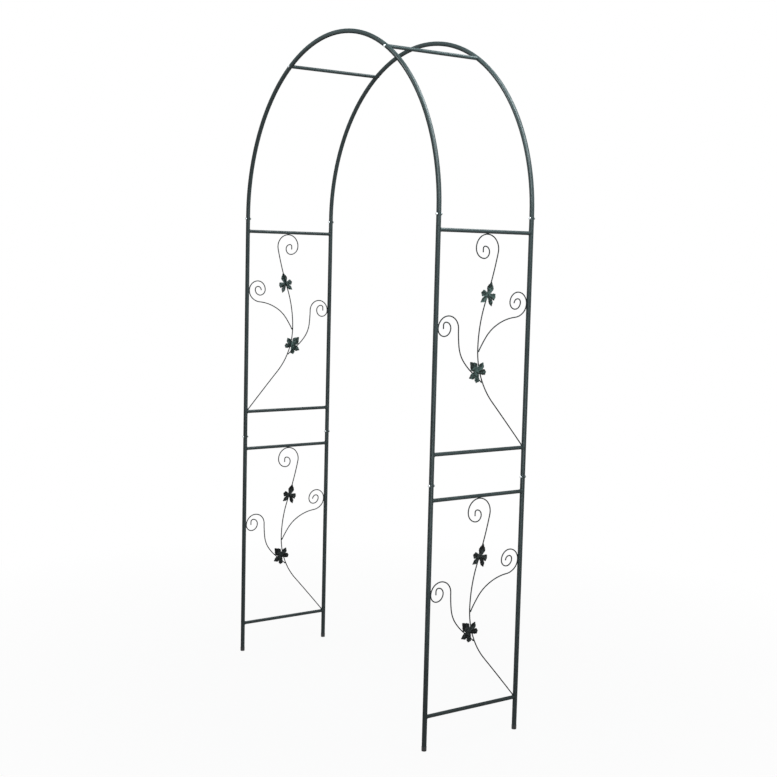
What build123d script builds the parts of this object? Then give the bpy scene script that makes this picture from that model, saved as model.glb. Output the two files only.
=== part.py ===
from build123d import *
import math
import os

# Driving dimensions, in millimetres and degrees.
# X runs across the walkway, Y along it from front to rear, Z up from the ground.

# Frame
arch_span = 1254.0          # between the axes of the left and right posts
arch_depth = 386.0          # between the axes of the front and rear posts
leg_length = 115.0          # ground to the axis of the lower panel's bottom bar
panel_height = 719.0        # between the axes of a panel's two bars
post_above_bar = 62.0       # axis of a panel's top bar to the top end of its post
post_below_bar = 88.0       # shoulder of an upper post to the axis of its bottom bar
hoop_bar_angle = 30.0       # from the crown to each hoop bar, seen from the front

# Tube and rod
tube_diameter = 16.0        # posts and hoops
tube_wall = 1.0
bar_diameter = 12.7         # panel bars and hoop bars
bar_wall = 1.0
rod_diameter = 4.0          # scrolls

# Foot caps
cap_height = 15.0
cap_base = 2.0              # under the end of the post
cap_wall = 0.7
cap_clearance = 0.1         # all round, between a cap and its post
cap_edge = 1.2              # bevel of the bottom edge

# Tube joints
spigot_length = 40.0        # reduced end that enters the tube below
spigot_wall = 1.0
spigot_clearance = 0.15     # all round, between a spigot and the tube it enters
neck_height = 2.0           # where the reduced end widens inside the full tube
seam_gap = 0.1              # between a shoulder and the tube end it stands on
bolt_below_seam = 13.0      # cross bolt's axis below the seam

# Cup-head bolts with a square neck, their nuts, and the hoop bar screws
bolt_diameter = 5.0         # also the width of the square neck
bolt_hole_clearance = 0.2   # all round, in every hole that a bolt or screw passes
bolt_neck = 4.0             # length of the square neck
head_diameter = 9.0
head_top_diameter = 5.0
head_height = 4.5
nut_width = 8.0             # across the flats
nut_height = 3.7
bolt_end = 0.8              # bolt showing past its nut
seat_gap = 0.05             # under a head, a nut or the end of a post in its cap
screw_grip = 18.0           # screw inside the end of a hoop bar
tapped_depth = 22.0         # tapped hole in the end of a hoop bar

# Scrollwork, in the plane of a panel: along from its centre line towards the foot of the stem,
# and up from the axis of its bottom bar.
weld_gap = 0.15             # between two pieces that a weld joins
stem_rise = 131.0           # heading of the stem where it leaves the corner
stem_bow_along = -19.0      # the stem's furthest point from the post that it starts at
stem_bow_up = 336.0
stem_lean = 77.5            # heading of the stem where the top curl begins
top_curl_along = 7.5        # where the top curl touches the top bar
top_curl_radii = (48.0, 45.0, 33.5, 21.5, 18.0, 8.0)
high_branch_from = 390.0    # along the stem, from its foot
high_branch_rise = 61.0     # heading where it leaves the stem
high_curl_up = 486.0        # where the high curl touches its post
high_curl_radii = (37.5, 34.0, 22.5, 22.5, 12.0, 15.0)
high_crest_along = -133.0   # crest of the high branch, from where its curl touches
high_crest_up = -76.0
high_crest_heading = 33.5
high_level_along = -48.0    # where the high branch runs nearly level, from the same point
high_level_up = -46.0
high_level_heading = 5.0
low_branch_from = 287.0
low_branch_rise = 141.0
low_curl_up = 405.0         # where the low curl touches its post
low_curl_radii = (41.0, 41.0, 24.5, 26.0, 19.5, 10.0)
low_bend_along = 25.5       # bend of the low branch, from where its curl begins
low_bend_up = -109.0
low_bend_heading = 128.0
curl_tail = 12.0            # straight end inside the top and low curls

# Vine leaves: each lobe as turn from the leaf's axis, length, half width, widest point along it;
# the notches beside the tip lobe, before the base lobes and at the base, from the leaf's centre
leaf_sheet = 1.2
leaf_fold = 2.5             # how far the edges stand off the veins
upper_leaf_lobes = ((0.0, 46.5, 14.0, 0.57), (88.0, 31.0, 11.5, 0.82), (142.0, 39.0, 8.0, 0.70))
upper_leaf_notches = (10.0, 17.0, 7.0)
upper_leaf_from = 577.0     # along the stem, from its foot, to the leaf's centre
upper_leaf_aside = 0.0      # from the stem's axis, to its left
upper_leaf_turn = 3.0       # from the stem's heading
lower_leaf_lobes = ((0.0, 49.0, 17.0, 0.58), (74.0, 40.0, 10.0, 0.71), (128.0, 34.0, 9.5, 0.80))
lower_leaf_notches = (17.5, 20.5, 6.0)
lower_leaf_from = 322.0
lower_leaf_aside = 11.0
lower_leaf_turn = 26.0

# Levels and radii that follow from them
tube_radius = tube_diameter / 2
tube_bore = tube_radius - tube_wall
bar_radius = bar_diameter / 2
bar_bore = bar_radius - bar_wall
rod_radius = rod_diameter / 2
spigot_radius = tube_bore - spigot_clearance
spigot_bore = spigot_radius - spigot_wall
neck_radius = tube_radius - tube_wall / 2
bolt_radius = bolt_diameter / 2
bolt_hole = bolt_radius + bolt_hole_clearance
hoop_radius = arch_span / 2
half_depth = arch_depth / 2
lower_bottom = leg_length
lower_top = lower_bottom + panel_height
lower_seam = lower_top + post_above_bar
upper_bottom = lower_seam + post_below_bar
upper_top = upper_bottom + panel_height
upper_seam = upper_top + post_above_bar
hoop_centre = upper_seam + seam_gap
overall_height = hoop_centre + hoop_radius + tube_radius
panel_inside = half_depth - tube_radius
rod_touch = rod_radius + weld_gap

sides = {"left": -hoop_radius, "right": hoop_radius}
ends = {"front": -half_depth, "rear": half_depth}
nodes = {}


# Tubes
def tube(outer, inner, low, high):
    """Upright tube between two heights."""
    return Pos(0, 0, low) * extrude(Circle(outer) - Circle(inner), high - low)


def spigot(shoulder):
    """Reduced tube end below a shoulder, with the neck that joins it to the full tube above."""
    reduced = tube(spigot_radius, spigot_bore, shoulder - spigot_length, shoulder + neck_height)
    neck = tube(neck_radius, spigot_bore, shoulder, shoulder + neck_height)
    return reduced + neck


def bolt_hole_cut(height):
    """Square hole punched front to rear through an upright tube for a cup-head bolt."""
    return Pos(0, 0, height) * Box(2 * bolt_hole, 2 * tube_diameter, 2 * bolt_hole)


def screw_hole_cut(x, height):
    """Round hole drilled front to rear through a hoop for a hoop bar screw."""
    return Pos(x, 0, height) * Rot(90, 0, 0) * Cylinder(bolt_hole, 2 * tube_diameter)


def foot_cap():
    """Moulded cap on the foot of a lower post."""
    on_ground = (Align.CENTER, Align.CENTER, Align.MIN)
    socket_radius = tube_radius + cap_clearance
    body = Cylinder(socket_radius + cap_wall, cap_height, align=on_ground)
    body = chamfer(body.edges().sort_by(Axis.Z)[0], cap_edge)
    return body - Pos(0, 0, cap_base) * Cylinder(socket_radius, cap_height, align=on_ground)


def lower_post():
    """Plain tube from its foot cap to the lower seam."""
    post = tube(tube_radius, tube_bore, cap_base + seat_gap, lower_seam)
    return post - bolt_hole_cut(lower_seam - bolt_below_seam)


def upper_post():
    """Tube between the two seams, with a spigot at its foot."""
    shoulder = lower_seam + seam_gap
    post = tube(tube_radius, tube_bore, shoulder, upper_seam) + spigot(shoulder)
    post -= bolt_hole_cut(lower_seam - bolt_below_seam)
    return post - bolt_hole_cut(upper_seam - bolt_below_seam)


nodes["foot_caps"] = [Pos(x, y, 0) * foot_cap() for x in sides.values() for y in ends.values()]
for side, x in sides.items():
    for end, y in ends.items():
        nodes[f"{side}_lower_{end}_post"] = Pos(x, y, 0) * lower_post()
        nodes[f"{side}_upper_{end}_post"] = Pos(x, y, 0) * upper_post()


# Hoops
hoop_bore_sides = 8
hoop_bore_turn = 2 * math.pi / hoop_bore_sides
hoop_bore = tube_bore * math.sqrt(hoop_bore_turn / math.sin(hoop_bore_turn))
hoop_bar_x = hoop_radius * math.sin(math.radians(hoop_bar_angle))
hoop_bar_z = hoop_centre + hoop_radius * math.cos(math.radians(hoop_bar_angle))


def hoop():
    """Half circle of tube on a spigot at each end, drilled for its bolts and hoop bar screws.

    Its hidden bore has few sides and the area of the round bore.
    """
    bore = RegularPolygon(hoop_bore, hoop_bore_sides)
    section = Pos(hoop_radius, 0, hoop_centre) * (Circle(tube_radius) - bore)
    body = revolve(section, Axis((0, 0, hoop_centre), (0, -1, 0)), 180)
    for x in sides.values():
        body += Pos(x, 0, 0) * spigot(hoop_centre)
        body -= Pos(x, 0, 0) * bolt_hole_cut(upper_seam - bolt_below_seam)
    for x in (-hoop_bar_x, hoop_bar_x):
        body -= screw_hole_cut(x, hoop_bar_z)
    return body


for end, y in ends.items():
    nodes[f"{end}_hoop"] = Pos(0, y, 0) * hoop()


# Bars between the front and the rear
def bar(section, saddle):
    """Bar along Y whose ends are shaped to the tube that the saddle stands for."""
    body = Plane(origin=(0, -half_depth, 0), z_dir=(0, 1, 0)) * extrude(section, arch_depth)
    for y in ends.values():
        body -= Pos(0, y, 0) * saddle
    return body


def panel_bar():
    """Tube welded between two posts."""
    post = Cylinder(tube_radius + weld_gap, 2 * tube_diameter)
    return bar(Circle(bar_radius) - Circle(bar_bore), post)


def hoop_bar(lean):
    """Solid bar between the hoops, with a tapped hole in each end."""
    stretch_of_hoop = Rot(0, lean, 0) * Cylinder(tube_radius + weld_gap, 2 * tube_diameter)
    body = bar(Circle(bar_radius), stretch_of_hoop)
    for y in ends.values():
        reach = tube_radius + tapped_depth
        body -= Pos(0, y, 0) * Rot(90, 0, 0) * Cylinder(bolt_hole, 2 * reach)
    return body


bar_levels = {
    "lower_panel_bottom": lower_bottom,
    "lower_panel_top": lower_top,
    "upper_panel_bottom": upper_bottom,
    "upper_panel_top": upper_top,
}
for side, x in sides.items():
    for level, z in bar_levels.items():
        nodes[f"{side}_{level}_bar"] = Pos(x, 0, z) * panel_bar()
    out = math.copysign(1, x)
    hoop_slope = out * (90 + hoop_bar_angle)
    nodes[f"{side}_hoop_bar"] = Pos(out * hoop_bar_x, 0, hoop_bar_z) * hoop_bar(hoop_slope)


# Bolts, nuts and screws
def screw(length):
    """Screw along +Z, its head below a seat at z = 0."""
    on_top = (Align.CENTER, Align.CENTER, Align.MIN)
    underneath = (Align.CENTER, Align.CENTER, Align.MAX)
    head = Cone(head_top_diameter / 2, head_diameter / 2, head_height, align=underneath)
    return head + Cylinder(bolt_radius, length, align=on_top)


def cup_bolt(length):
    """Cup-head bolt: a screw with a square neck under its head."""
    return screw(length) + extrude(Rectangle(bolt_diameter, bolt_diameter), bolt_neck)


def nut():
    """Hexagon nut along +Z from a seat at z = 0."""
    flats = RegularPolygon(nut_width / 2, 6, major_radius=False)
    return extrude(flats - Circle(bolt_hole), nut_height)


seat = tube_radius + seat_gap
bolt_length = 2 * seat + nut_height + bolt_end
screw_length = seat + tube_radius + screw_grip
for level, seam in {"lower": lower_seam, "upper": upper_seam}.items():
    bolts = []
    nuts = []
    for x in sides.values():
        for y in ends.values():
            z = seam - bolt_below_seam
            bolts.append(Plane(origin=(x, y - seat, z), z_dir=(0, 1, 0)) * cup_bolt(bolt_length))
            nuts.append(Plane(origin=(x, y + seat, z), z_dir=(0, 1, 0)) * nut())
    nodes[f"{level}_joint_bolts"] = bolts
    nodes[f"{level}_joint_nuts"] = nuts

screws = []
for x in (-hoop_bar_x, hoop_bar_x):
    for y in ends.values():
        inward = -math.copysign(1, y)
        under_head = Plane(origin=(x, y - inward * seat, hoop_bar_z), z_dir=(0, inward, 0))
        screws.append(under_head * screw(screw_length))
nodes["hoop_bar_screws"] = screws


# Scroll lines, drawn in the plane of a panel
def towards(heading):
    """Unit vector at a heading."""
    turn = math.radians(heading)
    return Vector(math.cos(turn), math.sin(turn))


def tangent_arc(start, end, heading):
    """Arc, or a straight run where the heading already points at the end."""
    if abs(heading.cross(end - start).Z) < 1e-3:
        return Line(start, end)
    return TangentArc(start, end, tangent=heading)


def run(start, start_heading, end, end_heading):
    """Two arcs that leave one point and reach another at given headings."""
    leave = towards(start_heading)
    reach = towards(end_heading)
    chord = end - start
    forward = chord.dot(leave + reach)
    spread = 2 * (1 - leave.dot(reach))
    if spread < 1e-6:
        arm = chord.dot(chord) / (2 * forward)
    else:
        arm = (math.sqrt(forward**2 + spread * chord.dot(chord)) - forward) / spread
    meeting = (start + end + (leave - reach) * arm) / 2
    first = tangent_arc(start, meeting, leave)
    return [first, tangent_arc(meeting, end, first % 1)]


def curl(start, heading, radii, tail):
    """Curl that tightens with each quarter turn, the first of them ending level."""
    arcs = []
    turn = 180 - heading
    direction = towards(heading)
    for radius in radii:
        arcs.append(JernArc(start, direction, radius, turn))
        start = arcs[-1] @ 1
        direction = arcs[-1] % 1
        turn = 90
    if tail > 0:
        arcs.append(Line(start, start + direction * tail))
    return arcs


def on_stem(distance):
    """Point, heading and left-hand direction of the stem at a distance from its foot."""
    point = stem_line.position_at(distance, PositionMode.LENGTH)
    forward = stem_line.tangent_at(distance, PositionMode.LENGTH)
    return point, math.degrees(math.atan2(forward.Y, forward.X)), Vector(-forward.Y, forward.X)


def branch_start(distance, rise, hand):
    """Where a branch leaves the stem, on its left (hand 1) or its right (hand -1)."""
    point, heading, left = on_stem(distance)
    clear = rod_touch + rod_radius * abs(math.cos(math.radians(rise - heading)))
    return point + left * (hand * clear)


foot = Vector(
    panel_inside - weld_gap - rod_radius * abs(math.sin(math.radians(stem_rise))),
    bar_radius + weld_gap + rod_radius * abs(math.cos(math.radians(stem_rise))),
)
bow = Vector(stem_bow_along, stem_bow_up)
top_curl_centre = Vector(top_curl_along, panel_height - bar_radius - rod_touch - top_curl_radii[0])
top_curl_start = top_curl_centre + towards(stem_lean - 90) * top_curl_radii[0]
stem_edges = run(foot, stem_rise, bow, 90) + run(bow, 90, top_curl_start, stem_lean)
stem_edges += curl(top_curl_start, stem_lean, top_curl_radii, curl_tail)
stem_line = Wire(stem_edges)

high_start = branch_start(high_branch_from, high_branch_rise, -1)
high_curl_start = Vector(panel_inside - rod_touch, high_curl_up)
high_crest = high_curl_start + Vector(high_crest_along, high_crest_up)
high_level = high_curl_start + Vector(high_level_along, high_level_up)
high_edges = run(high_start, high_branch_rise, high_crest, high_crest_heading)
high_edges += run(high_crest, high_crest_heading, high_level, high_level_heading)
high_edges += run(high_level, high_level_heading, high_curl_start, 90)
high_edges += curl(high_curl_start, 90, high_curl_radii, 0)

low_start = branch_start(low_branch_from, low_branch_rise, 1)
low_curl_start = Vector(
    -panel_inside + rod_touch + low_curl_radii[1] + low_curl_radii[0],
    low_curl_up + low_curl_radii[1] - low_curl_radii[0],
)
low_bend = low_curl_start + Vector(low_bend_along, low_bend_up)
low_edges = run(low_start, low_branch_rise, low_bend, low_bend_heading)
low_edges += run(low_bend, low_bend_heading, low_curl_start, 90)
low_edges += curl(low_curl_start, 90, low_curl_radii, curl_tail)


def rod(edges):
    """Scroll rod along a line, six-sided, with two corners in the plane of the panel."""
    line = Wire(edges)
    forward = line % 0
    section = Plane(line @ 0, x_dir=(-forward.Y, forward.X, 0), z_dir=forward)
    return sweep(section * RegularPolygon(rod_radius, 6), path=line)


# Vine leaves
def lobe_edge(turn, length, half_width, widest):
    """Outline of one lobe from its right shoulder to its left: two teeth, the tip, two teeth."""
    half = (
        (widest, 1.0, 1.0),
        (widest + 0.06, 0.80, 0.8),
        (widest / 2 + 0.47, 0.62, 0.8),
        (widest / 2 + 0.51, 0.44, 0.6),
    )
    right = [(part * length, -width * half_width, fold * leaf_fold) for part, width, fold in half]
    left = [(x, -y, z) for x, y, z in reversed(right)]
    return [Rot(0, 0, turn) * Pos(*p) for p in right + [(length, 0, 0)] + left]


def leaf(lobes, notches):
    """Five-lobed leaf pressed from sheet, folded along its veins, its back on z = 0."""
    turned = [(-turn, *shape) for turn, *shape in lobes[:0:-1]] + list(lobes)
    following = [lobe[0] for lobe in turned[1:]] + [turned[0][0] + 360]
    beside_tip, before_base, at_base = notches
    gaps = (before_base, beside_tip, beside_tip, before_base, at_base)
    outline = []
    for lobe, next_turn, notch in zip(turned, following, gaps):
        outline += [place.position for place in lobe_edge(*lobe)]
        between = (lobe[0] + next_turn) / 2
        outline.append((Rot(0, 0, between) * Pos(notch, 0, leaf_fold / 2)).position)
    lift = Vector(0, 0, leaf_sheet)
    centre = Vector(0, 0, 0)
    faces = []
    for a, b in zip(outline, outline[1:] + outline[:1]):
        back = (centre, a, b)
        front = (centre + lift, a + lift, b + lift)
        rim = (a, b, b + lift, a + lift)
        faces += [Face(Wire.make_polygon(corners)) for corners in (back, front, rim)]
    return Solid(Shell(faces))


# Panels: the upper left one is fitted turned about, so its stem starts at the front post
panels = {
    "left_lower": (sides["left"], lower_bottom, 1),
    "right_lower": (sides["right"], lower_bottom, 1),
    "left_upper": (sides["left"], upper_bottom, -1),
    "right_upper": (sides["right"], upper_bottom, 1),
}
rods = {
    "scroll_stem": rod(stem_edges),
    "scroll_high_branch": rod(high_edges),
    "scroll_low_branch": rod(low_edges),
}
leaves = {
    "upper_leaf": leaf(upper_leaf_lobes, upper_leaf_notches),
    "lower_leaf": leaf(lower_leaf_lobes, lower_leaf_notches),
}
leaf_places = {
    "upper_leaf": (upper_leaf_from, upper_leaf_aside, upper_leaf_turn),
    "lower_leaf": (lower_leaf_from, lower_leaf_aside, lower_leaf_turn),
}
for panel, (x, z, facing) in panels.items():
    face = Plane(origin=(x, 0, z), x_dir=(0, facing, 0), z_dir=(facing, 0, 0))
    for name, shape in rods.items():
        nodes[f"{panel}_{name}"] = face * shape
    for name, (distance, aside, turn) in leaf_places.items():
        point, heading, left = on_stem(distance)
        centre = point + left * aside
        on_rod = Pos(centre.X, centre.Y, rod_touch) * Rot(0, 0, heading + turn)
        nodes[f"{panel}_{name}"] = face.location * on_rod * leaves[name]

os.makedirs("parts", exist_ok=True)
for name, shape in nodes.items():
    if isinstance(shape, list):
        shape = Compound(children=shape)
    export_step(shape, f"parts/{name}.step")
print(len(nodes), "nodes,", "overall height", overall_height)
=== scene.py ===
import math
from collections import namedtuple
import bmesh
import bpy
from mathutils import Matrix, Vector, noise
from mathutils.geometry import delaunay_2d_cdt


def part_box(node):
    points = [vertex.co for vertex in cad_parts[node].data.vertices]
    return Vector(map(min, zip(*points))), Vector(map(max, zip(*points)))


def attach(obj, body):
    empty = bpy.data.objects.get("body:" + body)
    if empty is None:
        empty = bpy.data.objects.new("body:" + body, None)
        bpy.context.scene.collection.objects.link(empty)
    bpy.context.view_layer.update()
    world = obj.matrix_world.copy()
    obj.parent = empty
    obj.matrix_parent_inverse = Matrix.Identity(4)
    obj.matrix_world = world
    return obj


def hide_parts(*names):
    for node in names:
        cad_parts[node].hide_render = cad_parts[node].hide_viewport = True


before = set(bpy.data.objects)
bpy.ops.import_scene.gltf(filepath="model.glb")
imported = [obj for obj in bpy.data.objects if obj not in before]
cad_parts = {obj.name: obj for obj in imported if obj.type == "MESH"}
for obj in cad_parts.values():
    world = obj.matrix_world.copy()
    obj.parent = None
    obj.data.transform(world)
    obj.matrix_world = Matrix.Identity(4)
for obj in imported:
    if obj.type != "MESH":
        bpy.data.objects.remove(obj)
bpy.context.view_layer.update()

# Sizes of what is made here, in millimetres and degrees; posts, bars and hoops come from the frame
MM = 0.001
WELD_GAP = 0.15
SEAT_GAP = 0.05
UPRIGHT = 90
STRAIGHT = 1e-6

# Scroll rods: section, and the longest step and turn between two rings of the mesh
ROD_RADIUS = 2.0
ROD_BEVEL = 0.5
ROD_SIDES = 14
ROD_STEP = 4.0
ROD_TURN = 7.0

# Scrollwork, in the plane of a panel: along from its centre line towards the foot of the stem, and up
STEM_RISE = 131.0
STEM_BOW = Vector((-19.0, 336.0))
STEM_LEAN = 77.5
TOP_CURL_ALONG = 7.5
TOP_CURL_RADII = (48.0, 45.0, 33.5, 21.5, 18.0, 8.0)
HIGH_BRANCH_FROM = 390.0
HIGH_BRANCH_RISE = 61.0
HIGH_CURL_UP = 486.0
HIGH_CURL_RADII = (37.5, 34.0, 22.5, 22.5, 12.0, 15.0)
HIGH_CREST = Vector((-133.0, -76.0))
HIGH_CREST_HEADING = 33.5
HIGH_LEVEL = Vector((-48.0, -46.0))
HIGH_LEVEL_HEADING = 5.0
LOW_BRANCH_FROM = 287.0
LOW_BRANCH_RISE = 141.0
LOW_CURL_UP = 405.0
LOW_CURL_RADII = (41.0, 41.0, 24.5, 26.0, 19.5, 10.0)
LOW_BEND = Vector((25.5, -109.0))
LOW_BEND_HEADING = 128.0
CURL_TAIL = 12.0

# Lobes of a leaf: turn from its axis, length, half width, and widest point as a share of the length
LEAF_LOBES = {
    "upper_leaf": ((0.0, 46.5, 14.0, 0.57), (88.0, 31.0, 11.5, 0.82), (142.0, 39.0, 8.0, 0.70)),
    "lower_leaf": ((0.0, 49.0, 17.0, 0.58), (74.0, 40.0, 10.0, 0.71), (128.0, 34.0, 9.5, 0.80)),
}

# Notches of a leaf, from its centre: beside the tip lobe, before the base lobes and at the base
LEAF_NOTCHES = {"upper_leaf": (10.0, 17.0, 7.0), "lower_leaf": (17.5, 20.5, 6.0)}

# Place of a leaf: distance along the stem, shift to the stem's left, and turn from its heading
LEAF_PLACES = {"upper_leaf": (577.0, 0.0, 3.0), "lower_leaf": (322.0, 11.0, 26.0)}

# Half of a lobe's edge: share of the widest point, length added to it, width there, and bulge after it
LOBE_EDGE = (
    (1.0, 0.0, 1.0, -0.02),
    (1.0, 0.06, 0.80, 0.06),
    (0.5, 0.47, 0.62, -0.02),
    (0.5, 0.51, 0.44, 0.07),
    (0.0, 1.0, 0.0, 0.0),
)
LOBE_STEPS = 4

# Edge from a lobe's shoulder to a notch: share of the way, and lift as a share of the tooth
SHOULDER_EDGE = (
    (0.0, 0.0), (0.22, 0.3), (0.42, 1.0), (0.50, 0.0),
    (0.66, 0.35), (0.82, 0.3), (0.93, 0.1), (1.0, 0.0),
)
SHOULDER_TOOTH = 1.6
SHOULDER_TOOTH_SHARE = 0.09

# Sheet of a leaf, its mesh, its fold beside each vein, and its ripple
LEAF_SHEET = 1.2
LEAF_GRID = 1.5
LEAF_GRID_ROW = 0.866
LEAF_GRID_CLEAR = 0.6
LEAF_FOLD = 2.5
LEAF_FOLD_SPREAD = 0.55
LEAF_TIP_RISE = {"upper_leaf": 0.8, "lower_leaf": 1.6}
LEAF_RIPPLE = 0.35
LEAF_RIPPLE_SCALE = 0.12
INSIDE_OUTLINE = 1
MERGE_DISTANCE = 1e-5

# Veins of a leaf; a side vein's height and width are shares of the main vein's
VEIN_HEIGHT = 0.8
VEIN_WIDTH = 1.3
VEIN_FADE = 0.7
SIDE_VEIN_SPACING = 7.5
SIDE_VEIN_LEAN = 0.9
SIDE_VEIN_START = 1.5
SIDE_VEIN_REACH = 1.2
SIDE_VEIN_HEIGHT = 0.7
SIDE_VEIN_WIDTH = 0.8

# Weld beads round the ends of panel bars
BEAD_RADIUS = 1.5
BEAD_STAND = 0.4
BEAD_STEPS = 60
BEAD_SIDES = 10
BEAD_RIPPLES = 15
BEAD_RIPPLE = 0.10
BEAD_ROUGHNESS = 0.18
BEAD_GRAIN = 1.7

# Weld lumps where rods and leaves touch what carries them
LUMP_RADIUS = 2.1
LUMP_RINGS = 11
LUMP_SIDES = 14
LUMP_END = 0.98
LUMP_ROUGHNESS = 0.28
LUMP_GRAIN = 0.35
LUMP_GRAIN_ROUND = 3
LUMP_GRAIN_ALONG = 4
FOOT_WELD_ALONG = 2.5
FOOT_WELD_LENGTH = 10.0
FOOT_WELD_EXTRA = 0.9
CURL_WELD_LENGTH = 11.0
CURL_WELD_BELOW_BAR = 0.6
CURL_WELD_FROM_POST = 0.5
SMALL_WELD_LENGTH = 9.0
BRANCH_WELD_ALONG = 1.0
BRANCH_WELD_EXTRA = 0.3
LEAF_WELD_ASIDE = 0.4
LEAF_WELD_SINK = 0.2

# Bolts, nuts and screws; the thread's tip is given as insets and distances from its end
HEAD_RADIUS = 4.5
HEAD_HEIGHT = 4.5
HEAD_RIM = 0.7
HEAD_BEVEL = 0.15
DOME_STEPS = 10
DOME_START = 88
TURNED_SIDES = 32
BOLT_RADIUS = 2.5
BOLT_END = 0.8
BOLT_THREAD_INSIDE = 1.0
THREAD_PITCH = 0.8
THREAD_DEPTH = 0.3
THREAD_TIP = ((0.35, 0.1), (0.7, 0.0))
NUT_FLATS = 8.0
NUT_HEIGHT = 3.7
NUT_SIDES = 72
NUT_LEVELS = (0.0, 0.25, 0.6)
NUT_BEVEL = 0.1
NUT_SLOPE = 1.73
SCREW_THREAD_START = 2.0
SCREW_GRIP = 18.0

# Crossed slot of a screw: half its width and length, and the heights and shares of its mouth and floor
SLOT_WIDTH = 0.55
SLOT_LENGTH = 2.4
SLOT_LEVELS = ((-6.0, 1.0), (-2.6, 0.75))

# Foot caps; the rim is given as insets from the cap's outside and distances below its mouth
CAP_HEIGHT = 15.0
CAP_BASE = 2.0
CAP_CENTRE = 0.4
CAP_ROUNDING = 1.6
CAP_ROUNDING_STEPS = 6
CAP_DRAFT = 0.25
CAP_SOLE_INSET = 2.2
CAP_SOLE_RISE = 0.15
CAP_RIM_SWELL = 0.05
CAP_RIM_DEPTH = 2.2
CAP_RIM = ((0.05, 1.9), (0.0, 1.2), (0.05, 0.5), (0.3, 0.05), (0.5, 0.0))
CAP_LIP = 0.1
CAP_FIT = 0.08
CAP_SIDES = 48

# Gloss: swing of roughness in patches, and where the paint's gloss fades between facing and grazing
SMOOTHER = 0.06
ROUGHER = 0.08
GLOSS_FULL = 0.28
GLOSS_GONE = 0.60

# The photograph's camera, in metres, degrees and pixels
IMAGE_SIZE = 777.0
FOCAL_PIXELS = 1279.4
SENSOR = 36.0
CAMERA_AT = Vector((3.88315, -2.63552, 1.60533))
CAMERA_YAW = 55.17
CAMERA_PITCH = 5.76
CAMERA_ROLL = -1.38
CAMERA_REACH = 60.0

# Floor, in metres: it is all white to the camera from FLOOR_FAR on, and nearly so within FLOOR_NEAR
FLOOR_HALF = 40.0
FLOOR_GREY = (0.35, 0.35, 0.35, 1.0)
FLOOR_NEAR = 0.6
FLOOR_FAR = 2.6
FLOOR_NEAR_WHITE = 0.95
FLOOR_FAR_WHITE = 1.0

# Light: each lamp's place and aim, width and depth in metres, power in watts and spread in degrees
WHITE = (1.0, 1.0, 1.0, 1.0)
AMBIENT = 0.03
AMBIENT_COLOUR = (0.90, 1.0, 1.0, 1.0)
LAMP_COLOUR = (0.86, 0.97, 1.0)
LAMPS = {
    "key_lamp": ((1.7, -0.75, 2.6), (0.6, -0.1, 2.0), 1.2, 1.2, 16.0, 110.0),
    "post_lamp": ((1.6, -0.6, 1.65), (0.63, 0.0, 1.4), 0.5, 0.8, 0.7, 70.0),
    "low_lamp": ((1.5, -0.5, 0.8), (0.63, 0.0, 0.65), 0.5, 0.7, 1.5, 70.0),
    "crown_lamp": ((-0.3, -1.0, 2.8), (-0.15, -0.19, 2.35), 0.6, 0.5, 3.0, 60.0),
    "top_lamp": ((1.1, 0.2, 2.95), (0.6, 0.0, 2.1), 0.45, 1.5, 18.0, 110.0),
    "back_lamp": ((0.2, 0.85, 3.0), (0.3, 0.0, 2.3), 1.3, 0.45, 13.0, 110.0),
    "fill_lamp": ((-1.8, 1.2, 2.0), (-0.3, 0.0, 1.4), 1.2, 1.2, 18.0, 110.0),
}


# Sizes read from the frame, in millimetres
def middle(node):
    low, high = (Vector(corner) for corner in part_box(node))
    return (low + high) / 2 / MM


def across(node):
    low, high = (Vector(corner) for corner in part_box(node))
    return (high - low) / MM


POST = middle("right_upper_rear_post")
HOOP_RADIUS = POST.x
HALF_DEPTH = POST.y
TUBE_RADIUS = across("right_upper_rear_post").x / 2
BAR_RADIUS = across("right_lower_panel_top_bar").z / 2
LOWER_BOTTOM = middle("right_lower_panel_bottom_bar").z
UPPER_BOTTOM = middle("right_upper_panel_bottom_bar").z
PANEL_HEIGHT = middle("right_lower_panel_top_bar").z - LOWER_BOTTOM
PANEL_INSIDE = HALF_DEPTH - TUBE_RADIUS
ROD_TOUCH = ROD_RADIUS + WELD_GAP
SEAT = TUBE_RADIUS + SEAT_GAP
SIDES = {"left": -HOOP_RADIUS, "right": HOOP_RADIUS}
ENDS = {"front": -HALF_DEPTH, "rear": HALF_DEPTH}

# Panels: place across, height of the bottom bar, and 1 or -1 for the stem's foot at the rear or front
PANELS = {
    "left_lower": (-HOOP_RADIUS, LOWER_BOTTOM, 1),
    "right_lower": (HOOP_RADIUS, LOWER_BOTTOM, 1),
    "left_upper": (-HOOP_RADIUS, UPPER_BOTTOM, -1),
    "right_upper": (HOOP_RADIUS, UPPER_BOTTOM, 1),
}

# Scroll lines are made of arcs, with angles in radians
Arc = namedtuple("Arc", "start heading turn length")


def towards(heading):
    return Vector((math.cos(heading), math.sin(heading)))


def left_of(heading):
    return Vector((-math.sin(heading), math.cos(heading)))


def arc_to(start, heading, end):
    """Arc that leaves a point at a heading and reaches another point."""
    chord = end - start
    half = math.remainder(math.atan2(chord.y, chord.x) - heading, 2 * math.pi)
    stretch = half / math.sin(half) if abs(half) > STRAIGHT else 1.0
    return Arc(start, heading, 2 * half, chord.length * stretch)


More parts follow.
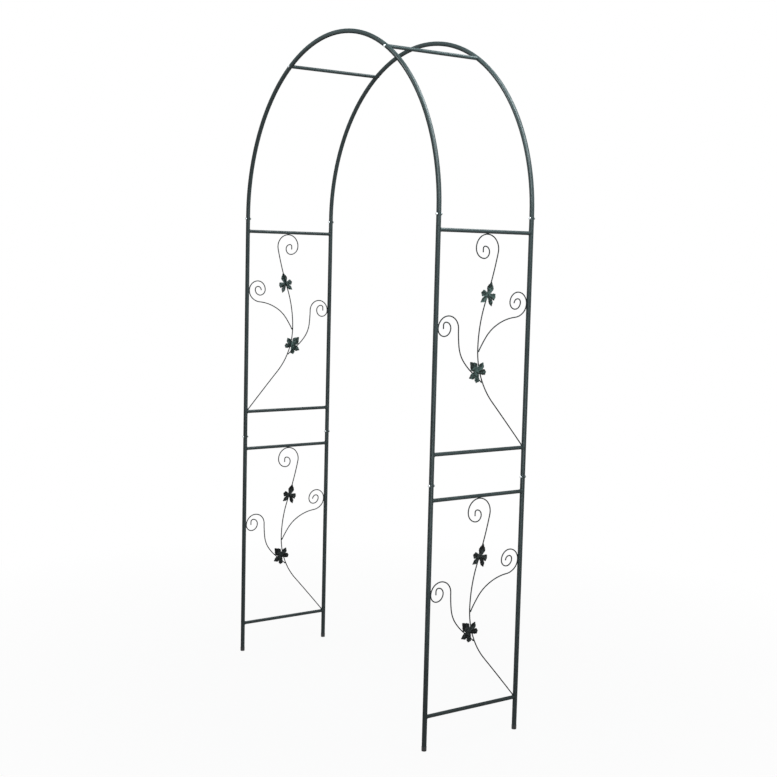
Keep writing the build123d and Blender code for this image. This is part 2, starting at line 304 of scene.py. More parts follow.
def run(start, start_heading, end, end_heading):
    """Two arcs that leave one point and reach another at given headings in degrees."""
    leave = towards(math.radians(start_heading))
    reach = towards(math.radians(end_heading))
    chord = end - start
    forward = chord.dot(leave + reach)
    spread = 2 * (1 - leave.dot(reach))
    if spread < STRAIGHT:
        arm = chord.dot(chord) / (2 * forward)
    else:
        arm = (math.sqrt(forward**2 + spread * chord.dot(chord)) - forward) / spread
    meeting = (start + end + (leave - reach) * arm) / 2
    first = arc_to(start, math.radians(start_heading), meeting)
    return [first, arc_to(meeting, first.heading + first.turn, end)]


def on_arc(arc, distance):
    """Point and heading at a distance along an arc."""
    start, heading, turn, length = arc
    now = heading + turn * distance / length
    if abs(turn) < STRAIGHT:
        return start + towards(heading) * distance, heading
    return start + (left_of(heading) - left_of(now)) * (length / turn), now


def on_line(arcs, distance):
    """Point and heading at a distance along a line of arcs."""
    for arc in arcs:
        if distance <= arc.length:
            return on_arc(arc, distance)
        distance -= arc.length
    return on_arc(arcs[-1], arcs[-1].length)


def curl(start, heading, radii, tail):
    """Curl to the left in arcs of given radii: the first ends level, and each other is a quarter turn."""
    arcs = []
    turn = math.radians(180 - heading)
    heading = math.radians(heading)
    for radius in radii:
        arcs.append(Arc(start, heading, turn, radius * turn))
        start, heading = on_arc(arcs[-1], radius * turn)
        turn = math.pi / 2
    if tail > 0:
        arcs.append(Arc(start, heading, 0.0, tail))
    return arcs


def branch_start(distance, rise, hand):
    """Where a branch leaves the stem, on its left (hand 1) or its right (hand -1)."""
    point, heading = on_line(STEM, distance)
    clear = ROD_TOUCH + ROD_RADIUS * abs(math.cos(math.radians(rise) - heading))
    return point + left_of(heading) * (hand * clear)


def stem_line():
    """From the panel's lower corner, bowed across the panel, to a curl under its top bar."""
    rise = math.radians(STEM_RISE)
    foot = Vector((
        PANEL_INSIDE - WELD_GAP - ROD_RADIUS * abs(math.sin(rise)),
        BAR_RADIUS + WELD_GAP + ROD_RADIUS * abs(math.cos(rise)),
    ))
    reach = TOP_CURL_RADII[0]
    centre = Vector((TOP_CURL_ALONG, PANEL_HEIGHT - BAR_RADIUS - ROD_TOUCH - reach))
    curl_start = centre + towards(math.radians(STEM_LEAN - UPRIGHT)) * reach
    arcs = run(foot, STEM_RISE, STEM_BOW, UPRIGHT) + run(STEM_BOW, UPRIGHT, curl_start, STEM_LEAN)
    return arcs + curl(curl_start, STEM_LEAN, TOP_CURL_RADII, CURL_TAIL)


def high_line():
    """From the stem over a crest to a curl against the post above the stem's foot."""
    curl_start = Vector((PANEL_INSIDE - ROD_TOUCH, HIGH_CURL_UP))
    crest = curl_start + HIGH_CREST
    level = curl_start + HIGH_LEVEL
    start = branch_start(HIGH_BRANCH_FROM, HIGH_BRANCH_RISE, -1)
    arcs = run(start, HIGH_BRANCH_RISE, crest, HIGH_CREST_HEADING)
    arcs += run(crest, HIGH_CREST_HEADING, level, HIGH_LEVEL_HEADING)
    arcs += run(level, HIGH_LEVEL_HEADING, curl_start, UPRIGHT)
    return arcs + curl(curl_start, UPRIGHT, HIGH_CURL_RADII, 0)


def low_line():
    """From the stem round a bend to a curl against the other post."""
    first, second = LOW_CURL_RADII[:2]
    curl_start = Vector((-PANEL_INSIDE + ROD_TOUCH + second + first, LOW_CURL_UP + second - first))
    bend = curl_start + LOW_BEND
    start = branch_start(LOW_BRANCH_FROM, LOW_BRANCH_RISE, 1)
    arcs = run(start, LOW_BRANCH_RISE, bend, LOW_BEND_HEADING)
    arcs += run(bend, LOW_BEND_HEADING, curl_start, UPRIGHT)
    return arcs + curl(curl_start, UPRIGHT, LOW_CURL_RADII, CURL_TAIL)


STEM = stem_line()
HIGH = high_line()
LOW = low_line()


# Mesh helpers: meshes are drawn in millimetres and scaled when they are finished
def round_turns(sides):
    return [2 * math.pi * i / sides for i in range(sides)]


def loft(bm, rings, closed=False):
    """Skin over rings of points; an open run is closed with a cap at each end."""
    loops = [[bm.verts.new(point) for point in ring] for ring in rings]
    pairs = list(zip(loops, loops[1:]))
    if closed:
        pairs.append((loops[-1], loops[0]))
    for a, b in pairs:
        for i in range(len(a)):
            j = (i + 1) % len(a)
            bm.faces.new((a[i], a[j], b[j], b[i]))
    if not closed:
        bm.faces.new(loops[0][::-1])
        bm.faces.new(loops[-1])


def lathe(bm, profile, sides):
    """Skin turned about Z from (radius, height) pairs."""
    rings = []
    for radius, height in profile:
        turns = round_turns(sides)
        rings.append([Vector((radius * math.cos(t), radius * math.sin(t), height)) for t in turns])
    loft(bm, rings)


def finish_mesh(bm, name, sharp=40.0):
    """Mesh in metres, smooth but for edges sharper than an angle in degrees."""
    bmesh.ops.recalc_face_normals(bm, faces=bm.faces)
    mesh = bpy.data.meshes.new(name)
    bm.to_mesh(mesh)
    bm.free()
    mesh.transform(Matrix.Scale(MM, 4))
    mesh.shade_smooth()
    mesh.set_sharp_from_angle(angle=math.radians(sharp))
    return mesh


def place(name, mesh, matrix, material, slot, *nodes):
    """Puts a piece in the scene on the arch, in place of the CAD nodes that it stands for."""
    piece = bpy.data.objects.new(name, mesh)
    bpy.context.scene.collection.objects.link(piece)
    piece.matrix_world = matrix
    if not mesh.materials:
        mesh.materials.append(material)
    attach(piece, "root")
    if nodes:
        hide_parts(*nodes)


def panel_matrix(panel):
    """From a panel's along, up and out axes to the frame, in metres."""
    x, z, facing = PANELS[panel]
    rows = ((0, 0, facing, x * MM), (facing, 0, 0, 0), (0, 1, 0, z * MM), (0, 0, 0, 1))
    return Matrix(rows)


# Scroll rods
def rod_stops(arcs):
    """Distances along a rod and its radius there, with a bevel at each end."""
    stops = [(0.0, ROD_RADIUS - ROD_BEVEL), (ROD_BEVEL, ROD_RADIUS)]
    done = 0.0
    for arc in arcs:
        steps = max(2, math.ceil(max(arc.length / ROD_STEP, abs(arc.turn) / math.radians(ROD_TURN))))
        stops += [(done + arc.length * (i + 1) / steps, ROD_RADIUS) for i in range(steps)]
        done += arc.length
    length = sum(arc.length for arc in arcs)
    stops[-1] = (length - ROD_BEVEL, ROD_RADIUS)
    return stops + [(length, ROD_RADIUS - ROD_BEVEL)]


def rod_mesh(name, arcs):
    """Round rod along a line, its ends cut square and slightly bevelled."""
    rings = []
    for distance, radius in rod_stops(arcs):
        point, heading = on_line(arcs, distance)
        side = left_of(heading)
        ring = []
        for turn in round_turns(ROD_SIDES):
            flat = point + side * (radius * math.cos(turn))
            ring.append(Vector((flat.x, flat.y, radius * math.sin(turn))))
        rings.append(ring)
    bm = bmesh.new()
    loft(bm, rings)
    return finish_mesh(bm, name)


# Leaves
def five_lobes(leaf):
    """The leaf's lobes in turn, from its base on the right round its tip to its base on the left."""
    lobes = LEAF_LOBES[leaf]
    return [(-turn, *shape) for turn, *shape in lobes[:0:-1]] + list(lobes)


def lobe_edge(turn, length, half_width, widest):
    """Edge of one lobe from its right shoulder round its tip to its left shoulder, with its teeth."""
    half = [(share * widest + more, width, bulge) for share, more, width, bulge in LOBE_EDGE]
    right = []
    for (s0, w0, bulge), (s1, w1, _) in zip(half, half[1:]):
        for i in range(LOBE_STEPS):
            t = i / LOBE_STEPS
            width = w0 + (w1 - w0) * t + bulge * math.sin(math.pi * t)
            right.append(Vector(((s0 + (s1 - s0) * t) * length, -width * half_width)))
    left = [Vector((p.x, -p.y)) for p in reversed(right)]
    spin = Matrix.Rotation(math.radians(turn), 2)
    return [spin @ p for p in right + [Vector((length, 0.0))] + left]


def shoulder_edge(shoulder, notch):
    """Edge from a lobe's shoulder down to a notch: a tooth half way, then a round into the notch."""
    along = notch - shoulder
    outward = Vector((along.y, -along.x)).normalized()
    if outward.dot(shoulder + notch) < 0:
        outward = -outward
    tooth = min(SHOULDER_TOOTH, SHOULDER_TOOTH_SHARE * along.length)
    return [shoulder + along * t + outward * (tooth * lift) for t, lift in SHOULDER_EDGE]


def leaf_outline(leaf):
    """Outline of the whole leaf, its lobes joined by toothed edges that meet in rounded notches."""
    lobes = five_lobes(leaf)
    beside_tip, before_base, at_base = LEAF_NOTCHES[leaf]
    gaps = (before_base, beside_tip, beside_tip, before_base, at_base)
    edges = [lobe_edge(*lobe) for lobe in lobes]
    following = [lobe[0] for lobe in lobes[1:]] + [lobes[0][0] + 360]
    outline = []
    for i, edge in enumerate(edges):
        outline += edge
        notch = towards(math.radians((lobes[i][0] + following[i]) / 2)) * gaps[i]
        after = edges[(i + 1) % len(edges)][0]
        outline += shoulder_edge(edge[-1], notch)[1:]
        outline += shoulder_edge(after, notch)[:0:-1][1:]
    return outline


def leaf_height(leaf, point):
    """Height of the pressed sheet: folded up from each lobe's vein, with the veins raised."""
    best = None
    tip_rise = LEAF_TIP_RISE[leaf]
    for turn, length, half_width, _ in five_lobes(leaf):
        axis = towards(math.radians(turn))
        s = min(max(point.dot(axis), 0.0), length)
        away = (point - axis * s).length
        if best is None or away < best[0]:
            best = (away, s, length, half_width)
    away, s, length, half_width = best
    height = LEAF_FOLD * (1 - math.exp(-(away / (LEAF_FOLD_SPREAD * half_width))**2))
    fade = 1 - VEIN_FADE * s / length
    height += VEIN_HEIGHT * fade * math.exp(-(away / VEIN_WIDTH)**2)
    phase = (s - SIDE_VEIN_LEAN * away) / SIDE_VEIN_SPACING
    off_vein = (phase - math.floor(phase) - 0.5) * SIDE_VEIN_SPACING
    side_share = min(1.0, away / SIDE_VEIN_START) * max(0.0, 1 - away / (SIDE_VEIN_REACH * half_width))
    ridge = math.exp(-(off_vein / (SIDE_VEIN_WIDTH * VEIN_WIDTH))**2)
    height += VEIN_HEIGHT * SIDE_VEIN_HEIGHT * side_share * ridge
    height += LEAF_RIPPLE * noise.noise(Vector((point.x, point.y, tip_rise)) * LEAF_RIPPLE_SCALE)
    return height + tip_rise * (s / length)**2


def leaf_points(outline):
    """The outline's points, then those of an even grid that aren't too close to it."""
    points = list(outline)
    reach = max(p.length for p in outline)
    count = int(reach / LEAF_GRID) + 1
    for i in range(-count, count + 1):
        for j in range(-count, count + 1):
            p = Vector(((i + 0.5 * (j % 2)) * LEAF_GRID, j * LEAF_GRID * LEAF_GRID_ROW))
            if min((p - q).length for q in outline) > LEAF_GRID_CLEAR * LEAF_GRID:
                points.append(p)
    return points


def leaf_mesh(leaf):
    """Leaf pressed from sheet, its vein side up and its back towards z = 0."""
    outline = leaf_outline(leaf)
    points = leaf_points(outline)
    rim = [list(range(len(outline)))]
    flat, _, triangles, _, _, _ = delaunay_2d_cdt(points, [], rim, INSIDE_OUTLINE, MERGE_DISTANCE)
    used = sorted({i for triangle in triangles for i in triangle})
    bm = bmesh.new()
    back = {}
    front = {}
    for i in used:
        height = leaf_height(leaf, flat[i])
        back[i] = bm.verts.new((flat[i].x, flat[i].y, height))
        front[i] = bm.verts.new((flat[i].x, flat[i].y, height + LEAF_SHEET))
    edges = set()
    for triangle in triangles:
        a, b, c = triangle
        bm.faces.new((front[a], front[b], front[c]))
        bm.faces.new((back[c], back[b], back[a]))
        edges |= {(a, b), (b, c), (c, a)}
    for a, b in edges:
        if (b, a) not in edges:
            bm.faces.new((front[b], front[a], back[a], back[b]))
    return finish_mesh(bm, leaf, sharp=50.0)


def leaf_matrix(panel, leaf):
    """From a leaf's own axes to the frame, where it touches the stem of its panel."""
    distance, aside, turn = LEAF_PLACES[leaf]
    point, heading = on_line(STEM, distance)
    centre = point + left_of(heading) * aside
    shift = Matrix.Translation(Vector((centre.x, centre.y, ROD_TOUCH)) * MM)
    return panel_matrix(panel) @ shift @ Matrix.Rotation(heading + math.radians(turn), 4, "Z")


# Welds
def bead(bm, end, level):
    """Rippled weld all round the end of a panel bar, where it meets its post."""
    rings = []
    for turn in round_turns(BEAD_STEPS):
        rise = Vector((0.0, math.sin(turn), math.cos(turn)))
        out = (BAR_RADIUS + BEAD_STAND) * math.cos(turn)
        along = end * (HALF_DEPTH - math.sqrt(TUBE_RADIUS**2 - out**2) - BEAD_STAND)
        centre = Vector((along, level, 0.0)) + rise * (BAR_RADIUS + BEAD_STAND)
        grain = noise.noise(rise * BEAD_GRAIN + Vector((end, level, 0)))
        ripple = 1 + BEAD_RIPPLE * math.sin(BEAD_RIPPLES * turn) + BEAD_ROUGHNESS * grain
        ring = []
        for lean in round_turns(BEAD_SIDES):
            step = rise * math.cos(lean) + Vector((end, 0.0, 0.0)) * math.sin(lean)
            ring.append(centre + step * (BEAD_RADIUS * ripple))
        rings.append(ring)
    loft(bm, rings, closed=True)


def lump(bm, centre, heading, length, radius):
    """Uneven lump of weld between two rods, or a rod and what it touches."""
    forward = towards(heading).to_3d()
    side = left_of(heading).to_3d()
    up = Vector((0.0, 0.0, 1.0))
    rings = []
    for i in range(LUMP_RINGS):
        t = -LUMP_END + 2 * LUMP_END * i / (LUMP_RINGS - 1)
        ring = []
        for turn in round_turns(LUMP_SIDES):
            step = side * math.cos(turn) + up * math.sin(turn)
            spot = centre + step * LUMP_GRAIN_ROUND + forward * (t * LUMP_GRAIN_ALONG)
            rough = 1 + LUMP_ROUGHNESS * noise.noise(spot * LUMP_GRAIN)
            thick = radius * rough * math.sqrt(1 - t * t)
            ring.append(centre + forward * (t * length / 2) + step * thick)
        rings.append(ring)
    loft(bm, rings)


def curl_welds(bm):
    """Welds where the curls touch the top bar and the two posts."""
    top = Vector((TOP_CURL_ALONG, PANEL_HEIGHT - BAR_RADIUS - CURL_WELD_BELOW_BAR, 0.0))
    lump(bm, top, 0.0, CURL_WELD_LENGTH, LUMP_RADIUS)
    high = Vector((PANEL_INSIDE - CURL_WELD_FROM_POST, HIGH_CURL_UP, 0.0))
    lump(bm, high, math.pi / 2, CURL_WELD_LENGTH, LUMP_RADIUS)
    low_up = LOW_CURL_UP + LOW_CURL_RADII[1] - LOW_CURL_RADII[0]
    low = Vector((-PANEL_INSIDE + CURL_WELD_FROM_POST, low_up, 0.0))
    lump(bm, low, math.pi / 2, CURL_WELD_LENGTH, LUMP_RADIUS)


def panel_weld_mesh():
    """All the welds of one panel: its bar ends, and where rods and leaves touch what carries them."""
    bm = bmesh.new()
    for end in (-1, 1):
        for level in (0.0, PANEL_HEIGHT):
            bead(bm, end, level)
    foot, heading = on_line(STEM, FOOT_WELD_ALONG)
    lump(bm, foot.to_3d(), heading, FOOT_WELD_LENGTH, LUMP_RADIUS + FOOT_WELD_EXTRA)
    curl_welds(bm)
    for line in (HIGH, LOW):
        start, heading = on_line(line, BRANCH_WELD_ALONG)
        lump(bm, start.to_3d(), heading, SMALL_WELD_LENGTH, LUMP_RADIUS + BRANCH_WELD_EXTRA)
    for distance, aside, _ in LEAF_PLACES.values():
        point, heading = on_line(STEM, distance)
        spot = point + left_of(heading) * (aside * LEAF_WELD_ASIDE)
        centre = Vector((spot.x, spot.y, ROD_RADIUS - LEAF_WELD_SINK))
        lump(bm, centre, heading, SMALL_WELD_LENGTH, LUMP_RADIUS)
    return finish_mesh(bm, "panel_welds", sharp=60.0)


# Fasteners and foot caps
def thread(start, end):
    """Profile of a threaded stretch along Z, its tip bevelled."""
    profile = []
    height = start
    while height + THREAD_PITCH <= end:
        profile += [(BOLT_RADIUS - THREAD_DEPTH, height), (BOLT_RADIUS, height + THREAD_PITCH / 2)]
        height += THREAD_PITCH
    return profile + [(BOLT_RADIUS - inset, end - short) for inset, short in THREAD_TIP]


def dome():
    """Profile of a domed head from its crown down to its seat at z = 0, and in to the shank."""
    profile = []
    for i in range(DOME_STEPS):
        lift = math.radians(DOME_START - DOME_START * i / (DOME_STEPS - 1))
        height = -HEAD_RIM - (HEAD_HEIGHT - HEAD_RIM) * math.sin(lift)
        profile.append((HEAD_RADIUS * math.cos(lift), height))
    profile += [(HEAD_RADIUS, -HEAD_BEVEL), (HEAD_RADIUS - HEAD_BEVEL, 0.0)]
    return profile + [(BOLT_RADIUS - THREAD_DEPTH, 0.0)]


def bolt_mesh():
    """Cup-head bolt: a plain domed head, its shank, and the threaded end that shows past the nut."""
    shank_end = 2 * SEAT + NUT_HEIGHT + BOLT_END
    bm = bmesh.new()
    lathe(bm, dome() + thread(2 * TUBE_RADIUS - BOLT_THREAD_INSIDE, shank_end), TURNED_SIDES)
    return finish_mesh(bm, "joint_bolt", sharp=35.0)


def nut_mesh():
    """Hexagon nut with its corners turned away at both faces."""
    levels = NUT_LEVELS + tuple(NUT_HEIGHT - height for height in reversed(NUT_LEVELS))
    rings = []
    for height in levels:
        ring = []
        for turn in round_turns(NUT_SIDES):
            off = math.remainder(turn, math.pi / 3)
            flat = NUT_FLATS / 2 / math.cos(off)
            cone = NUT_FLATS / 2 - NUT_BEVEL + min(height, NUT_HEIGHT - height) * NUT_SLOPE
            reach = min(flat, cone)
            ring.append(Vector((reach * math.cos(turn), reach * math.sin(turn), height)))
        rings.append(ring)
    bm = bmesh.new()
    loft(bm, rings)
    return finish_mesh(bm, "joint_nut", sharp=25.0)


def screw_mesh():
    """Domed screw, and the cutter for the crossed driving slot in its head."""
    bm = bmesh.new()
    lathe(bm, dome() + thread(SCREW_THREAD_START, 2 * TUBE_RADIUS + SCREW_GRIP), TURNED_SIDES)
    slots = bmesh.new()
    for half_x, half_y in ((SLOT_WIDTH, SLOT_LENGTH), (SLOT_LENGTH, SLOT_WIDTH)):
        corners = [(-half_x, -half_y), (half_x, -half_y), (half_x, half_y), (-half_x, half_y)]
        rings = [[Vector((x * k, y * k, z)) for x, y in corners] for z, k in SLOT_LEVELS]
        loft(slots, rings)
    return finish_mesh(bm, "hoop_bar_screw", sharp=35.0), finish_mesh(slots, "screw_slot_cutter")


def cut_slot(screw, cutter_mesh):
    """Cuts the crossed slot into the screw's mesh."""
    cutter = bpy.data.objects.new("screw_slot_cutter", cutter_mesh)
    holder = bpy.data.objects.new("screw_slot_holder", screw)
    for item in (cutter, holder):
        bpy.context.scene.collection.objects.link(item)
    cut = holder.modifiers.new("slot", "BOOLEAN")
    cut.object = cutter
    cut.operation = "DIFFERENCE"
    cut.solver = "EXACT"
    cut.use_self = True
    graph = bpy.context.evaluated_depsgraph_get()
    mesh = bpy.data.meshes.new_from_object(holder.evaluated_get(graph))
    mesh.name = "hoop_bar_screw_slotted"
    for item in (cutter, holder):
        bpy.data.objects.remove(item)
    return mesh


def cap_mesh():
    """Moulded foot cap: rounded bottom edge, slight draft, and a rolled rim round its mouth."""
    outer = across("foot_caps").x / 2 - HOOP_RADIUS
    wall = outer - CAP_DRAFT
    bore = TUBE_RADIUS + CAP_FIT
    profile = [(CAP_CENTRE, 0.0), (outer - CAP_ROUNDING - CAP_SOLE_INSET, 0.0)]
    profile.append((wall - CAP_ROUNDING, CAP_SOLE_RISE))
    for i in range(1, CAP_ROUNDING_STEPS + 1):
        turn = math.pi / 2 * i / CAP_ROUNDING_STEPS
        inset = CAP_ROUNDING * (1 - math.sin(turn))
        rise = CAP_ROUNDING * (1 - math.cos(turn))
        profile.append((wall - inset, CAP_SOLE_RISE + rise))
    profile.append((wall + CAP_RIM_SWELL, CAP_HEIGHT - CAP_RIM_DEPTH))
    profile += [(outer - inset, CAP_HEIGHT - below) for inset, below in CAP_RIM]
    profile += [(bore, CAP_HEIGHT - CAP_LIP), (bore, CAP_BASE), (CAP_CENTRE, CAP_BASE)]
    bm = bmesh.new()
    lathe(bm, profile, CAP_SIDES)
    return finish_mesh(bm, "foot_cap", sharp=50.0)


# Material nodes: noise is in the piece's own coordinates, its scale in waves to the metre
def new_material(name):
    material = bpy.data.materials.new(name)
    material.use_nodes = True
    tree = material.node_tree
    shader = tree.nodes["Principled BSDF"]
    coordinates = tree.nodes.new("ShaderNodeTexCoord")
    return material, tree, shader, coordinates.outputs["Object"]


def noise_node(tree, where, scale, detail=2.0):
    node = tree.nodes.new("ShaderNodeTexNoise")
    node.inputs["Scale"].default_value = scale
    node.inputs["Detail"].default_value = detail
    tree.links.new(where, node.inputs["Vector"])
    return node.outputs["Fac"]


def spangle_node(tree, where, scale):
    node = tree.nodes.new("ShaderNodeTexVoronoi")
    node.inputs["Scale"].default_value = scale
    tree.links.new(where, node.inputs["Vector"])
    return node.outputs["Color"]


def facing_node(tree):
    node = tree.nodes.new("ShaderNodeLayerWeight")
    node.inputs["Blend"].default_value = 0.5
    return node.outputs["Facing"]


def ramp_node(tree, value, dark, light, blend):
    """From a dark to a light colour, over a blend to each side of one half."""
    node = tree.nodes.new("ShaderNodeValToRGB")
    stops = ((0.5 - blend, dark), (0.5 + blend, light))
    for element, (at, colour) in zip(node.color_ramp.elements, stops):
        element.position = at
        element.color = (*colour, 1.0)
    tree.links.new(value, node.inputs["Fac"])
    return node.outputs["Color"]


def range_node(tree, value, low, high, start=0.3, end=0.7):
    """Value between two limits; most of a noise lies within the start and end given here."""
    node = tree.nodes.new("ShaderNodeMapRange")
    node.inputs["From Min"].default_value = start
    node.inputs["From Max"].default_value = end
    node.inputs["To Min"].default_value = low
    node.inputs["To Max"].default_value = high
    tree.links.new(value, node.inputs["Value"])
    return node.outputs["Result"]


def math_node(tree, operation, first, second):
    node = tree.nodes.new("ShaderNodeMath")
    node.operation = operation
    tree.links.new(first, node.inputs[0])
    tree.links.new(second, node.inputs[1])
    return node.outputs[0]


def bump_node(tree, shader, value, strength, distance):
    node = tree.nodes.new("ShaderNodeBump")
    node.inputs["Strength"].default_value = strength
    node.inputs["Distance"].default_value = distance
    tree.links.new(value, node.inputs["Height"])
    tree.links.new(node.outputs["Normal"], shader.inputs["Normal"])


def mix_node(tree, share, first, second, output):
    """Two shaders mixed by a share of the second, sent to an output."""
    node = tree.nodes.new("ShaderNodeMixShader")
    tree.links.new(share, node.inputs[0])
    tree.links.new(first.outputs[0], node.inputs[1])
    tree.links.new(second.outputs[0], node.inputs[2])
    tree.links.new(node.outputs[0], output.inputs["Surface"])


# Materials
def uneven_gloss(tree, shader, patch, roughness):
    value = range_node(tree, patch, roughness - SMOOTHER, roughness + ROUGHER)
    tree.links.new(value, shader.inputs["Roughness"])


def paint(name, dark, light, clouds, blend, roughness, gloss, peel):
    """Powder coat: cloudy colour, uneven gloss that fades to the edges, and orange peel. On the leaves
    the cloudy colour is painted highlight and shade, standing in for light on their veins and ripples.
    """
    material, tree, shader, where = new_material(name)
    cloud = noise_node(tree, where, scale=clouds, detail=4.0)
    colour = ramp_node(tree, cloud, dark, light, blend)
    tree.links.new(colour, shader.inputs["Base Color"])
    uneven_gloss(tree, shader, noise_node(tree, where, scale=38.0, detail=3.0), roughness)
    fade = range_node(tree, facing_node(tree), gloss, 0.0, GLOSS_FULL, GLOSS_GONE)
    tree.links.new(fade, shader.inputs["Specular IOR Level"])
    bump_node(tree, shader, noise_node(tree, where, scale=650.0), strength=peel, distance=0.0002)
    return material


def zinc(name, dark, light, roughness):
    """Zinc plate: fine spangle in its colour, and uneven gloss."""
    material, tree, shader, where = new_material(name)
    spangle = spangle_node(tree, where, scale=900.0)
    colour = ramp_node(tree, spangle, dark, light, blend=0.3)
    tree.links.new(colour, shader.inputs["Base Color"])
    shader.inputs["Metallic"].default_value = 1.0
    uneven_gloss(tree, shader, noise_node(tree, where, scale=700.0), roughness)
    bump_node(tree, shader, noise_node(tree, where, scale=1800.0), strength=0.15, distance=0.0001)
    return material


def plastic(name, dark, light):
    """Moulded plastic with a fine matt grain."""
    material, tree, shader, where = new_material(name)
    cloud = noise_node(tree, where, scale=60.0, detail=3.0)
    colour = ramp_node(tree, cloud, dark, light, blend=0.2)
    tree.links.new(colour, shader.inputs["Base Color"])
    matt = range_node(tree, noise_node(tree, where, scale=240.0), low=0.42, high=0.58)
    tree.links.new(matt, shader.inputs["Roughness"])
    bump_node(tree, shader, noise_node(tree, where, scale=1500.0), strength=0.25, distance=0.0002)
    return material


PAINT = paint(
    "slate_green_paint", dark=(0.018, 0.026, 0.026), light=(0.029, 0.039, 0.039),
    clouds=9.0, blend=0.20, roughness=0.26, gloss=0.22, peel=0.05,
)
ROD_PAINT = paint(
    "scroll_paint", dark=(0.006, 0.009, 0.009), light=(0.011, 0.016, 0.015),
    clouds=24.0, blend=0.20, roughness=0.40, gloss=0.06, peel=0.10,
)
# Leaf paints: the sharp mottle of near-black and light patches is painted highlight and shade of the
# pressed veins and ripples; the upper leaves' paint is also the lighter, lit copy
UPPER_LEAF_PAINTED_LIGHT = paint(
    "upper_leaf_painted_light", dark=(0.001, 0.004, 0.003), light=(0.048, 0.073, 0.066),
    clouds=150.0, blend=0.06, roughness=0.38, gloss=0.20, peel=0.20,
)
# The lower leaves' copy is darker all over: painted shade
LOWER_LEAF_PAINTED_SHADE = paint(
    "lower_leaf_painted_shade", dark=(0.001, 0.001, 0.001), light=(0.030, 0.033, 0.032),
    clouds=150.0, blend=0.06, roughness=0.38, gloss=0.08, peel=0.20,
)
ZINC = zinc("bright_zinc", dark=(0.40, 0.41, 0.42), light=(0.54, 0.55, 0.56), roughness=0.28)
# Nut zinc: rougher than the bolt zinc, and darker in colour as painted shade on the nuts at the rear of
# each joint
DULL_ZINC_PAINTED_SHADE = zinc("dull_zinc_painted_shade", dark=(0.20, 0.22, 0.22), light=(0.30, 0.32, 0.32), roughness=0.42)
PLASTIC = plastic("black_moulded_plastic", dark=(0.009, 0.010, 0.010), light=(0.017, 0.018, 0.018))


# Pieces
def dress_frame():
    """Paints the CAD nodes; those that a piece replaces don't show."""
    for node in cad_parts.values():
        for slot in node.material_slots:
            slot.material = PAINT


def add_scrollwork():
    """Rods, leaves and welds of the four panels; leaves in the lower panels get a darker paint, which is
    painted shade.
    """
    rods = {
        "scroll_stem": rod_mesh("stem_rod", STEM),
        "scroll_high_branch": rod_mesh("high_branch_rod", HIGH),
        "scroll_low_branch": rod_mesh("low_branch_rod", LOW),
    }
    leaves = {leaf: leaf_mesh(leaf) for leaf in LEAF_PLACES}
    welds = panel_weld_mesh()
    for panel in PANELS:
        matrix = panel_matrix(panel)
        for node, mesh in rods.items():
            place(f"{panel}_round_{node}", mesh, matrix, ROD_PAINT, "paint", f"{panel}_{node}")
        # Leaves in the lower panels take the darker paint: painted shade
        coat = LOWER_LEAF_PAINTED_SHADE if panel.endswith("lower") else UPPER_LEAF_PAINTED_LIGHT
        for node, mesh in leaves.items():
            at = leaf_matrix(panel, node)
            place(f"{panel}_pressed_{node}", mesh.copy(), at, coat, "paint", f"{panel}_{node}")
        place(f"{panel}_panel_welds", welds, matrix, PAINT, "paint")


def facing_y(x, y, z, way):
    """From a fastener's own axes, head below z = 0, to a place in the frame; way 1 points along +Y."""
    turn = Matrix.Rotation(math.radians(-90 * way), 4, "X")
    return Matrix.Translation(Vector((x, y, z)) * MM) @ turn


def add_joints():
    """A bolt from the front and a nut at the rear, at both joints of each post; the nuts' darker zinc is
    painted shade.
    """
    bolt = bolt_mesh()
    nut = nut_mesh()
    for level in ("lower", "upper"):
        z = middle(f"{level}_joint_nuts").z
        for side, x in SIDES.items():
            for end, y in ENDS.items():
                name = f"{level}_{side}_{end}"
                before = facing_y(x, y - SEAT, z, 1)
                behind = facing_y(x, y + SEAT, z, 1)
                place(f"{name}_cup_bolt", bolt, before, ZINC, "zinc", f"{level}_joint_bolts")
                place(f"{name}_hex_nut", nut, behind, DULL_ZINC_PAINTED_SHADE, "zinc", f"{level}_joint_nuts")


def add_hoop_screws():
    """A screw through the hoop into each end of the hoop bars."""
    screw = cut_slot(*screw_mesh())
    for side in SIDES:
        bar = middle(f"{side}_hoop_bar")
        for end, y in ENDS.items():
            way = -math.copysign(1, y)
            at = facing_y(bar.x, y - way * SEAT, bar.z, way)
            place(f"{side}_{end}_hoop_screw", screw, at, ZINC, "zinc", "hoop_bar_screws")


def add_foot_caps():
    """A cap on the foot of each post."""
    cap = cap_mesh()
    for side, x in SIDES.items():
        for end, y in ENDS.items():
            at = Matrix.Translation(Vector((x, y, 0)) * MM)
            place(f"{side}_{end}_moulded_cap", cap, at, PLASTIC, "plastic", "foot_caps")


# Stage
def seen_directly(tree):
    """1 for what the camera sees itself, in a reflection or through glass."""
    ray = tree.nodes.new("ShaderNodeLightPath")
    value = ray.outputs["Is Camera Ray"]
    for other in ("Is Glossy Ray", "Is Transmission Ray"):
        value = math_node(tree, "MAXIMUM", value, ray.outputs[other])
    return value


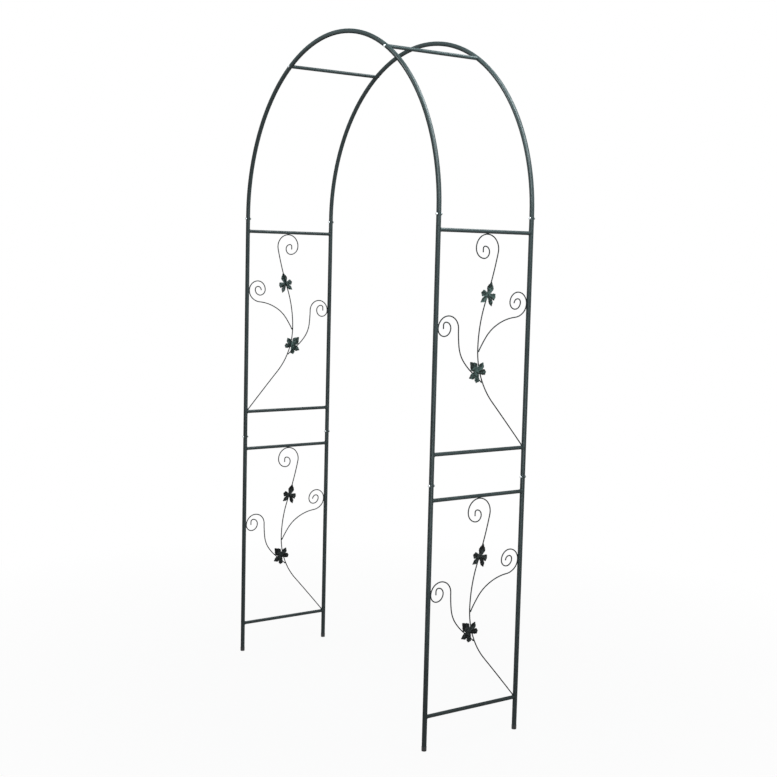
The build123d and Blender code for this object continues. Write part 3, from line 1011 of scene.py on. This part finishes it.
def floor_material():
    """Pale floor that reads white to the camera, and keeps a soft shadow near the arch."""
    material = bpy.data.materials.new("pale_floor")
    material.use_nodes = True
    tree = material.node_tree
    tree.nodes.clear()
    output = tree.nodes.new("ShaderNodeOutputMaterial")
    diffuse = tree.nodes.new("ShaderNodeBsdfDiffuse")
    diffuse.inputs["Color"].default_value = FLOOR_GREY
    white = tree.nodes.new("ShaderNodeEmission")
    coordinates = tree.nodes.new("ShaderNodeTexCoord")
    away = tree.nodes.new("ShaderNodeVectorMath")
    away.operation = "LENGTH"
    tree.links.new(coordinates.outputs["Object"], away.inputs[0])
    distance = away.outputs["Value"]
    whiteness = range_node(tree, distance, FLOOR_NEAR_WHITE, FLOOR_FAR_WHITE, FLOOR_NEAR, FLOOR_FAR)
    share = math_node(tree, "MULTIPLY", whiteness, seen_directly(tree))
    mix_node(tree, share, diffuse, white, output)
    return material


def add_floor():
    half = FLOOR_HALF
    corners = [(-half, -half, 0), (half, -half, 0), (half, half, 0), (-half, half, 0)]
    mesh = bpy.data.meshes.new("floor")
    mesh.from_pydata(corners, [], [(0, 1, 2, 3)])
    mesh.materials.append(floor_material())
    floor = bpy.data.objects.new("floor", mesh)
    bpy.context.scene.collection.objects.link(floor)


def add_world():
    """White surroundings for the camera and in reflections, and a plain level of light for the rest."""
    world = bpy.data.worlds.new("studio")
    bpy.context.scene.world = world
    world.use_nodes = True
    tree = world.node_tree
    tree.nodes.clear()
    output = tree.nodes.new("ShaderNodeOutputWorld")
    ambient = tree.nodes.new("ShaderNodeBackground")
    ambient.inputs["Color"].default_value = AMBIENT_COLOUR
    ambient.inputs["Strength"].default_value = AMBIENT
    white = tree.nodes.new("ShaderNodeBackground")
    white.inputs["Color"].default_value = WHITE
    mix_node(tree, seen_directly(tree), ambient, white, output)


def add_light(name, at, target, width, depth, power, spread):
    """Soft lamp at a place in metres, aimed at another, its beam held to a spread in degrees."""
    lamp = bpy.data.lights.new(name, "AREA")
    lamp.shape = "RECTANGLE"
    lamp.size = width
    lamp.size_y = depth
    lamp.energy = power
    lamp.color = LAMP_COLOUR
    lamp.spread = math.radians(spread)
    light = bpy.data.objects.new(name, lamp)
    bpy.context.scene.collection.objects.link(light)
    light.location = at
    light.rotation_euler = (Vector(target) - Vector(at)).to_track_quat("-Z", "Y").to_euler()


def add_camera():
    """Camera of the photograph."""
    yaw, pitch, roll = (math.radians(a) for a in (CAMERA_YAW, CAMERA_PITCH, CAMERA_ROLL))
    ahead = Vector((-math.sin(yaw) * math.cos(pitch), math.cos(yaw) * math.cos(pitch), -math.sin(pitch)))
    level = Vector((math.cos(yaw), math.sin(yaw), 0.0))
    down = ahead.cross(level)
    right = level * math.cos(roll) + down * math.sin(roll)
    below = down * math.cos(roll) - level * math.sin(roll)
    data = bpy.data.cameras.new("photo_camera")
    data.sensor_width = SENSOR
    data.lens = FOCAL_PIXELS / IMAGE_SIZE * SENSOR
    data.clip_end = CAMERA_REACH
    camera = bpy.data.objects.new("photo_camera", data)
    bpy.context.scene.collection.objects.link(camera)
    turn = Matrix((right, -below, -ahead)).transposed().to_4x4()
    camera.matrix_world = Matrix.Translation(CAMERA_AT) @ turn
    bpy.context.scene.camera = camera


dress_frame()
add_scrollwork()
add_joints()
add_hoop_screws()
add_foot_caps()
add_floor()
add_world()
for lamp, setting in LAMPS.items():
    add_light(lamp, *setting)
add_camera()
bpy.context.scene.view_settings.view_transform = "Standard"
